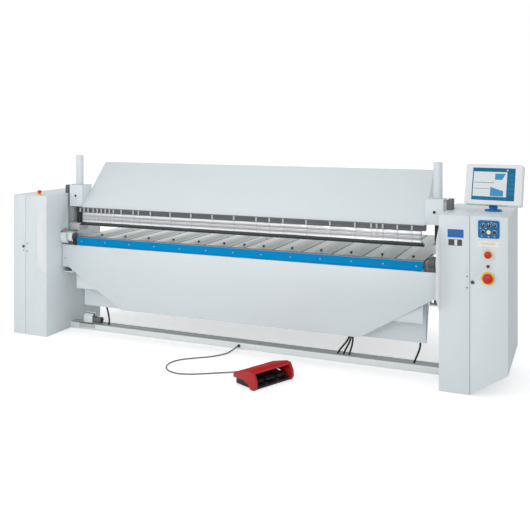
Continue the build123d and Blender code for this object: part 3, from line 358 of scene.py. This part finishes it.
materials = {n: makeFinish(n, *f) for n, f in {**finishes, **extras}.items()}
for nodeName, cadPiece in nodes.items():
    cadPiece.data.materials.clear()
    cadPiece.data.materials.append(materials[slotOf[nodeName]])
print("finishes made")


# pieces
axisTurns = {"X": Matrix.Rotation(math.radians(90), 3, "Y"), "Y": Matrix.Rotation(math.radians(90), 3, "X"),
             "Z": Matrix.Identity(3)}


def settle(name, bm, body, paints, sharpAngle=35.0):
    bmesh.ops.recalc_face_normals(bm, faces=bm.faces)
    mesh = bpy.data.meshes.new(name)
    bm.to_mesh(mesh)
    bm.free()
    mesh.shade_smooth()
    mesh.set_sharp_from_angle(angle=math.radians(sharpAngle))
    for paintName in (paints,) if isinstance(paints, str) else paints:
        mesh.materials.append(materials[paintName])
    piece = intoScene(bpy.data.objects.new(name, mesh))
    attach(piece, body)
    return piece


def addBlock(bm, low, high):
    made = bmesh.ops.create_cube(bm, size=1.0)["verts"]
    low, high = Vector(low), Vector(high)
    bmesh.ops.scale(bm, verts=made, vec=high - low)
    bmesh.ops.translate(bm, verts=made, vec=(low + high) / 2)
    return made


def addDisc(bm, centre, radius, depth, axis="Y", segments=32, top=None):
    made = bmesh.ops.create_cone(bm, cap_ends=True, segments=segments, radius1=radius,
                                 radius2=radius if top is None else top, depth=depth)["verts"]
    bmesh.ops.rotate(bm, verts=made, cent=(0, 0, 0), matrix=axisTurns[axis])
    bmesh.ops.translate(bm, verts=made, vec=centre)
    return made


def addTurned(bm, centre, profile, axis="Y", steps=36):  # profile of (radius, height) along the axis
    made = [bm.verts.new((r, 0, h)) for r, h in profile]
    edges = [bm.edges.new(pair) for pair in zip(made, made[1:])]
    before = set(bm.verts)
    bmesh.ops.spin(bm, geom=made + edges, cent=(0, 0, 0), axis=(0, 0, 1), angle=math.tau, steps=steps,
                   use_merge=True)
    verts = list((set(bm.verts) - before) | set(made))
    bmesh.ops.rotate(bm, verts=verts, cent=(0, 0, 0), matrix=axisTurns[axis])
    bmesh.ops.translate(bm, verts=verts, vec=centre)
    bmesh.ops.remove_doubles(bm, verts=bm.verts, dist=1e-6)
    return verts


def bevelEdges(bm, edges, width, segments=2):
    return bmesh.ops.bevel(bm, geom=edges, offset=width, offset_type="OFFSET", segments=segments, profile=0.5,
                           affect="EDGES", clamp_overlap=True, material=-1)["faces"]


def cutAcross(bm, place, direction, reach):
    bmesh.ops.bisect_plane(bm, geom=bm.verts[:] + bm.edges[:] + bm.faces[:], dist=reach, plane_co=place,
                           plane_no=direction)


toolJoints = [-1.460, -1.405, -1.362, -1.319, -1.276, -1.233, -1.190, -1.110, -0.986,
              -0.932, -0.811, -0.615, -0.414, -0.213, -0.014, 0.187, 0.303, 0.422,
              0.619, 0.816, 1.018, 1.147, 1.190, 1.237, 1.349, 1.460]
leftTools = 7  # so many tools at the left share one tone
table = {"half": 1.5525, "right": 0.074, "left": -0.051, "step": 0.25, "count": 6}
rightJoints = [table["right"] + table["step"] * i for i in range(table["count"])]
leftJoints = [table["left"] - table["step"] * i for i in range(table["count"])]
plateEnds = [-table["half"]] + sorted(rightJoints + leftJoints) + [table["half"]]


def markTools(bm):  # each tool between two joints gets a tone of its own
    piece = bm.faces.layers.float.new("pieceTone")
    for face in bm.faces:
        place = sum(face.calc_center_median().x > x for x in toolJoints)
        face[piece] = 1.0 if place < leftTools else (place * 0.618) % 1.0 * 0.5


def markPlates(bm):  # across each plate, and from left to right over the whole table
    across = bm.loops.layers.uv.new("plateUv")
    for face in bm.faces:
        middle = face.calc_center_median().x
        low, high = next((a, b) for a, b in zip(plateEnds, plateEnds[1:]) if a <= middle <= b)
        for loop in face.loops:
            x = loop.vert.co.x
            loop[across].uv = ((x - low) / (high - low), (x - plateEnds[0]) / (plateEnds[-1] - plateEnds[0]))


beamEnd = {"start": 1.587, "end": 1.697, "front": -0.190, "back": -0.1015, "setBack": 0.05, "cuts": 9}


def roundEnd(bm):  # the front plate curves back at the right end of the folding beam
    long = beamEnd["end"] - beamEnd["start"]
    for i in range(beamEnd["cuts"]):
        x = beamEnd["start"] + long * (i + 0.01) / beamEnd["cuts"]
        cutAcross(bm, (x, 0, 0), (1, 0, 0), 1e-6)
    for v in bm.verts:
        share = (v.co.x - beamEnd["start"]) / long
        if share > 0 and v.co.y < beamEnd["back"]:
            back = beamEnd["setBack"] * (1 - math.sqrt(max(0.0, 1 - min(share, 1.0) ** 2)))
            v.co.y += back * (beamEnd["back"] - v.co.y) / (beamEnd["back"] - beamEnd["front"])


railEnd = {"half": 1.55, "top": 0.856, "near": 1e-4, "radius": 0.012}


def roundRail(bm):  # upper corners of the rail
    def atCorner(v):
        beside = abs(abs(v.co.x) - railEnd["half"]) < railEnd["near"]
        return beside and abs(v.co.z - railEnd["top"]) < railEnd["near"]
    bevelEdges(bm, [e for e in bm.edges if all(atCorner(v) for v in e.verts)], railEnd["radius"], 5)


standFace = -0.4
noseStart = standFace - 0.0005


def cutNose(bm):  # parts the guard from the stand's face, so that the guard can take a brighter white as a painted highlight
    cutAcross(bm, (0, standFace, 0), (0, 1, 0), 1e-5)


def pumpFront(c, n):
    return n.y < -0.5 and -1.573 < c.x < -1.477 and c.z > 0.0625


# width of the broken edges, paints by place (centre and direction of a face), and work done first
dressing = {
    "upper_beam_cover": (0.0008,),
    "end_blocks": (0.002, [("screwBlack", lambda c, n: c.y < -0.1015)]),
    # the stand's nose takes a brighter white as painted highlight
    "left_cabinet": (0.001, [("guardWhite", lambda c, n: c.y < noseStart),
                             ("stopYellow", lambda c, n: c.z > 1.2405)], cutNose),
    # the stand's nose takes a brighter white as painted highlight
    "right_cabinet": (0.001, [("guardWhite", lambda c, n: c.y < noseStart)], cutNose),
    # the control cabinet's right side takes a darker white as painted shade
    "control_cabinet": (0.001, [("sideWhite", lambda c, n: n.x > 0.9)]),
    "left_door": (0.0007,),
    "right_door": (0.0007,),
    "door_hinges": (0.0006,),
    # the folding beam's front faces take a darker white as painted shade
    "folding_beam": (0.002, [("beamWhite", lambda c, n: n.y < -0.7)], roundEnd),
    "bending_rail": (0.0012, [], roundRail),
    # the tie's top takes a darker grey as painted shadow
    "floor_cross_member": (0.003, [("shadeGrey", lambda c, n: n.z > 0.8)]),
    "table_plates": (0.0022, [("grooveDark", lambda c, n: abs(n.z) < 0.5)], markPlates),
    "table_arms": (0.001,),
    "clamping_tools": (0.0012, [], markTools),
    "clamp_strip": (0.001,),
    "lower_tool_rail": (0.001,),
    "lower_beam": (0.002,),
    "side_frames": (0.0015,),
    "guide_shoes": (0.001,),
    "lift_gearboxes": (0.002,),
    "pivot_hubs": (0.0015, [("hubWhite", lambda c, n: c.z < 0.9)]),
    # the arm's eye is white; its faces turned to +x keep the dark steel as painted shade
    "pivot_arms": (0.0012, [("hubWhite", lambda c, n: c.x < 0 and c.z > 0.815 and n.x < 0.6)]),
    "fold_gearmotors": (0.002,),
    "gauge_drive": (0.0015,),
    "gauge_fingers": (0.0006, [("silver", lambda c, n: True)]),
    "monitor_housing": (0.003,),
    "monitor_pedestal": (0.0015,),
    "monitor_neck": (0.0008,),
    "control_panel": (0.0006, [("stopYellow", lambda c, n: c.z < 1.05)]),
    "selector_1": (0.0007,),
    "selector_2": (0.0007,),
    "selector_3": (0.0007,),
    "clamp_button": (0.001,),
    "lit_button": (0.001,),
    "fold_button": (0.001,),
    "key_switch": (0.0005,),
    "left_lift_spindle": (0.0015, [("threadDark", lambda c, n: True)]),
    "right_lift_spindle": (0.0015, [("threadDark", lambda c, n: True)]),
    "gauge_spindle": (0.0010, [("threadDark", lambda c, n: True)]),
    "left_door_lock": (0.0005, [("lockDark", lambda c, n: True)]),
    "right_door_lock": (0.0005, [("lockDark", lambda c, n: True)]),
    # the hood's top takes its own darker red as painted shade
    "foot_switch_hood": (0.005, [("hoodShade", lambda c, n: n.z > 0.75)]),
    "foot_switch_base": (0.001,),
    "left_pedal": (0.0015,),
    "middle_pedal": (0.0015,),
    "right_pedal": (0.0015,),
    "cord_glands": (0.0008,),
    "lubrication_pump": (0.0015, [("frame_paint", pumpFront),
                                  ("bracketGrey", lambda c, n: c.z < 0.0625 or c.y > 0.0035),
                                  ("pumpBlack", lambda c, n: c.x > -1.402)]),
}


def brokenEdges(nodeName, width, paints=(), prepare=None, sharpFrom=28.0):
    bm = bmesh.new()
    bm.from_mesh(nodes[nodeName].data)
    bmesh.ops.remove_doubles(bm, verts=bm.verts, dist=2e-5)
    bmesh.ops.dissolve_limit(bm, angle_limit=math.radians(0.5), verts=bm.verts, edges=bm.edges)
    worn = bm.faces.layers.float.new("edgeWear")
    if prepare:
        prepare(bm)
    sharp = [e for e in bm.edges if e.is_manifold and e.calc_face_angle(0) > math.radians(sharpFrom)]
    for face in bevelEdges(bm, sharp, width):
        face[worn] = 1.0
    for face in bm.faces:
        centre = face.calc_center_median()
        face.material_index = next((i + 1 for i, p in enumerate(paints) if p[1](centre, face.normal)), 0)
    slotName = slotOf[nodeName]
    skins = [slotName] + [p[0] for p in paints]
    piece = settle(nodeName + "Finish", bm, bodyOf[nodeName], skins, 30.0)
    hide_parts(nodeName)


for nodeName, work in dressing.items():
    brokenEdges(nodeName, *work)
print("edges broken on", len(dressing), "pieces")

# domed stop buttons on their stems
domes = {
    "stop_button": ((2.040, -0.413, 0.980), 0.023, 0.0126, "Y"),
    "main_stop": ((2.040, -0.417, 0.818), 0.034, 0.0156, "Y"),
    "top_stop": ((-1.800, -0.378, 1.264), 0.019, 0.0108, "Z"),
}
domeTall, domeStraight = 0.022, 0.42
stems = {"Y": ((0, 0.026, 0), 0.056), "Z": ((0, 0, -0.008), 0.020)}
for nodeName, (centre, radius, stem, axis) in domes.items():
    bm = bmesh.new()
    crown = [math.radians(9 * i) for i in range(1, 10)]
    profile = [(0.0, 0.0), (radius * 0.9, 0.0), (radius, 0.002), (radius, domeTall * domeStraight)]
    profile += [(radius * math.cos(a), domeTall * (domeStraight + (1 - domeStraight) * math.sin(a)))
                for a in crown]
    addTurned(bm, centre, profile + [(0.0, domeTall)], axis, 40)
    offset, long = stems[axis]
    addDisc(bm, Vector(centre) + Vector(offset), stem, long, axis, 32)
    piece = settle(nodeName + "Dome", bm, bodyOf[nodeName], "red_plastic", 40.0)
    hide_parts(nodeName)

# rings and marks on the controls
bm = bmesh.new()
keyProfile = [(0.0123, 0.0), (0.0160, 0.0), (0.0160, 0.003), (0.0123, 0.0045), (0.0123, 0.0)]
addTurned(bm, (2.040, -0.4002, 0.900), keyProfile)
settle("keyRing", bm, "right_door", "markWhite")
knobs = {"columns": (2.007, 2.045, 2.083), "high": 1.181, "low": 1.135, "panelFace": -0.405}
panelMark = {"wide": 0.004, "tall": 0.002, "proud": 0.0004, "sunk": 0.0002}
knobMark = {"half": 0.0012, "front": -0.4235, "back": -0.4229, "tall": 0.0122}
for i, x in enumerate(knobs["columns"]):
    bm = bmesh.new()
    addBlock(bm, (x - knobMark["half"], knobMark["front"], knobs["high"]),
             (x + knobMark["half"], knobMark["back"], knobs["high"] + knobMark["tall"]))
    settle("knobMark", bm, bodyOf["selector_" + str(i + 1)], "markWhite")
ringProfile = [(0.0132, 0.0), (0.0150, 0.0), (0.0148, 0.001), (0.0132, 0.0012), (0.0132, 0.0)]
bm = bmesh.new()
for x in knobs["columns"]:
    for z in (knobs["high"], knobs["low"]):
        addTurned(bm, (x, knobs["panelFace"] - 0.0001, z), ringProfile, "Y", 32)
settle("knobRings", bm, "right_door", "silver")
bm = bmesh.new()
for x, z in ((1.990, 1.160), (2.064, 1.200), (2.026, 1.160), (2.045, 1.104), (2.083, 1.106), (1.998, 1.106)):
    addBlock(bm, (x - panelMark["wide"], knobs["panelFace"] - panelMark["proud"], z - panelMark["tall"]),
             (x + panelMark["wide"], knobs["panelFace"] + panelMark["sunk"], z + panelMark["tall"]))
settle("panelMarks", bm, "right_door", "markWhite")
print("controls dressed")

# screws in the rail, the table, the stands and the folding beam, and the heads of the release pins
screws = {"railStep": 0.25, "railHeight": 0.8215, "railFace": -0.1747, "tableTop": 0.8562,
          "radius": 0.0050, "depth": 0.002, "sunk": 0.0011}
knobPlaces = [-1.402, -1.152, -0.908, -0.658, -0.408, -0.165, 0.022,
              0.199, 0.451, 0.702, 0.951, 1.201, 1.444]
tableKnob = [(0.0, 0.0), (0.0065, 0.0), (0.0065, 0.002), (0.0112, 0.010), (0.0104, 0.013), (0.0, 0.0135)]
screwHead = [(0.0, 0.0), (0.0048, 0.0), (0.0048, 0.0008), (0.0040, 0.0022),
             (0.0022, 0.0026), (0.0022, 0.0012), (0.0, 0.0012)]
pinHead = {"half": 0.0065, "front": -0.1336, "back": -0.1300, "low": 1.0795, "high": 1.1145, "edge": 0.001}
bm = bmesh.new()
for i in range(-6, 7):
    place = (i * screws["railStep"], screws["railFace"] + screws["sunk"], screws["railHeight"])
    addDisc(bm, place, screws["radius"], screws["depth"], "Y", 20)
settle("railScrews", bm, "folding_beam", "screwPale")
bm = bmesh.new()
for x in knobPlaces:
    addTurned(bm, (x, 0.0, screws["tableTop"] - 0.001), tableKnob, "Z", 28)
settle("tableKnobs", bm, "frame", "knobBlack")
bm = bmesh.new()
for x in [-1.545, -1.503] + toolJoints:
    pin = addBlock(bm, (x - pinHead["half"], pinHead["front"], pinHead["low"]),
                   (x + pinHead["half"], pinHead["back"], pinHead["high"]))
    bevelEdges(bm, list({e for v in pin for e in v.link_edges}), pinHead["edge"])
settle("pinHeads", bm, bodyOf["clamp_strip"], "pinPale")
faceScrews = {
    "left_door": ((-1.955, 0.748),),
    "frame": ((-1.914, 0.812), (-1.914, 0.742), (1.900, 0.821), (1.900, 0.742)),
    "folding_beam": ((-1.666, 0.663),),
}
for body, places in faceScrews.items():
    bm = bmesh.new()
    face = beamEnd["front"] if body == "folding_beam" else standFace
    for x, z in places:
        addTurned(bm, (x, face, z), screwHead, "Y", 24)
    settle(body + "Screws", bm, body, "screwBlack")
print("screws set")

# plates on the right stand and the door
plateThick = 0.0012
onPlate = standFace - plateThick
plates = {
    "blueNameplate": ((1.767, 1.085), (1.876, 1.142), "plateBlue", "frame", standFace),
    "darkNameplate": ((1.773, 1.029), (1.866, 1.072), "plateDark", "frame", standFace),
    "paleField": ((1.814, 1.031), (1.833, 1.070), "plateWhite", "frame", onPlate),
    "creamPlate": ((1.967, 1.035), (2.112, 1.070), "plateCream", "right_door", standFace),
    "tanField": ((1.992, 1.050), (2.088, 1.060), "plateTan", "right_door", onPlate),
    "lowerPlate": ((2.020, 0.876), (2.062, 0.882), "plateWhite", "right_door", standFace),
}
for name, ((x0, z0), (x1, z1), paintName, body, back) in plates.items():
    bm = bmesh.new()
    addBlock(bm, (x0, back - plateThick, z0), (x1, back - 0.0001, z1))
    settle(name, bm, body, paintName)
bm = bmesh.new()
for x in (1.974, 2.105):
    addTurned(bm, (x, onPlate, 1.0525), [(0.0, 0.0), (0.0028, 0.0), (0.0022, 0.0012), (0.0, 0.0014)], "Y", 20)
settle("plateRivets", bm, "right_door", "silver")
print("plates set")

# picture on the screen, laid out on the housing's own plane
screenPlace = (Matrix.Translation((2.035, -0.033, 1.302)) @ Matrix.Rotation(math.radians(-7.5), 4, "Z")
               @ Matrix.Rotation(math.radians(-15), 4, "X") @ Matrix.Translation((0, -0.006, -0.024)))
screenFace = -0.0300
showKey = {"rise": 0.0003, "step": 0.033, "rowStep": 0.041}
showParts = {
    "showPanel": ((-0.146, 0.060), (0.096, 0.244), "showPale", 0.0002, 0, 0),
    "showBeam": ((-0.020, 0.064), (0.074, 0.132), "showBlue", 0.0004, 0.30, 0),
    "showTool": ((0.010, 0.186), (0.086, 0.232), "showBlue", 0.0004, 0, 0.55),
    "showSheet": ((-0.140, 0.161), (0.006, 0.165), "showLine", 0.0005, 0, 0),
    "showTable": ((-0.140, 0.116), (-0.026, 0.119), "showLine", 0.0005, 0, 0),
    "showDot": ((0.092, 0.253), (0.102, 0.263), "showPale", 0.0003, 0, 0),
}
for name, ((x0, z0), (x1, z1), paintName, rise, topFall, sideLean) in showParts.items():
    bm = bmesh.new()
    made = addBlock(bm, (x0, screenFace - 0.0001 - rise, z0), (x1, screenFace, z1))
    for v in made:
        v.co.z -= topFall * (v.co.x - x0) * (v.co.z - z0) / (z1 - z0)
        v.co.x -= sideLean * (z1 - v.co.z) * (v.co.x - x0) / (x1 - x0)
    bmesh.ops.transform(bm, matrix=screenPlace, verts=made)
    settle(name, bm, "monitor", paintName)
bm = bmesh.new()
for i in range(5):
    up = showKey["step"] * i
    made = addBlock(bm, (0.106, screenFace - showKey["rise"], 0.076 + up), (0.146, screenFace, 0.100 + up))
    bmesh.ops.transform(bm, matrix=screenPlace, verts=made)
for i in range(6):
    along = showKey["rowStep"] * i
    made = addBlock(bm, (-0.142 + along, screenFace - showKey["rise"], 0.039),
                    (-0.108 + along, screenFace, 0.053))
    bmesh.ops.transform(bm, matrix=screenPlace, verts=made)
settle("showKeys", bm, "monitor", "showBar")
print("screen drawn")

# folded lip of the pump's bracket, over the front of the floor tie
bm = bmesh.new()
addBlock(bm, (-1.610, -0.0605, 0.018), (-1.440, -0.0575, 0.062))
addBlock(bm, (-1.610, -0.0605, 0.0545), (-1.440, -0.0530, 0.0620))
settle("pumpLip", bm, "frame", "bracketGrey")


def layTube(name, spots, radius, order, smooth, paint, standsFor):
    line = bpy.data.curves.new(name, "CURVE")
    line.dimensions, line.bevel_depth, line.bevel_resolution, line.use_fill_caps = "3D", radius, 4, True
    spline = line.splines.new("NURBS")
    spline.points.add(len(spots) - 1)
    for point, spot in zip(spline.points, spots):
        point.co = (*spot, 1.0)
    spline.order_u, spline.use_endpoint_u, spline.resolution_u = order, True, smooth
    line.materials.append(materials[paint])
    tube = intoScene(bpy.data.objects.new(name, line))
    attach(tube, "frame")
    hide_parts(standsFor)
    return tube


# hoses between the lower beam and the floor tie: top and low end, and how far the hose bows
hoses = {
    "left": (-1.342, -1.318, 0.020),
    "first": (0.941, 0.846, 0.010),
    "second": (0.953, 0.893, 0.012),
    "third": (0.966, 0.938, 0.014),
    "right": (1.498, 1.452, 0.012),
}
hoseRun = {"radius": 0.0075, "y": -0.02, "heights": (0.2245, 0.168, 0.098, 0.0535)}
for name, (topX, lowX, belly) in hoses.items():
    run = zip((topX, topX + belly, lowX + belly, lowX), hoseRun["heights"])
    layTube(name + "Hose", [(x, hoseRun["y"], z) for x, z in run], hoseRun["radius"], 4, 10, "black_rubber",
            "beam_hoses")
print("pump lip and hoses placed")

# foot switch cord: one free length from the tie to the hood
turnOut = math.radians(65)
outward = Vector((-math.sin(turnOut), math.cos(turnOut), 0))
hoodExit = Vector((0.490, -0.698, 0.032)) + outward * 0.135
cordRadius = 0.0055
cordFloor = [(-0.062, -0.280), (-0.128, -0.362), (-0.216, -0.428), (-0.302, -0.502), (-0.342, -0.592),
             (-0.328, -0.694), (-0.266, -0.774), (-0.176, -0.812), (-0.068, -0.790), (0.030, -0.730),
             (0.126, -0.668)]
cordRoute = [(0, -0.083, 0.028), (0, -0.133, 0.028), (-0.024, -0.205, 0.008)]
cordRoute += [(x, y, cordRadius) for x, y in cordFloor]
cordRoute += [(0.226, -0.630, 0.012), tuple(hoodExit + outward * 0.056), tuple(hoodExit)]
cordPiece = layTube("pedalCord", cordRoute, cordRadius, 3, 12, "cord_grey", "pedal_cord")
print("cord laid")
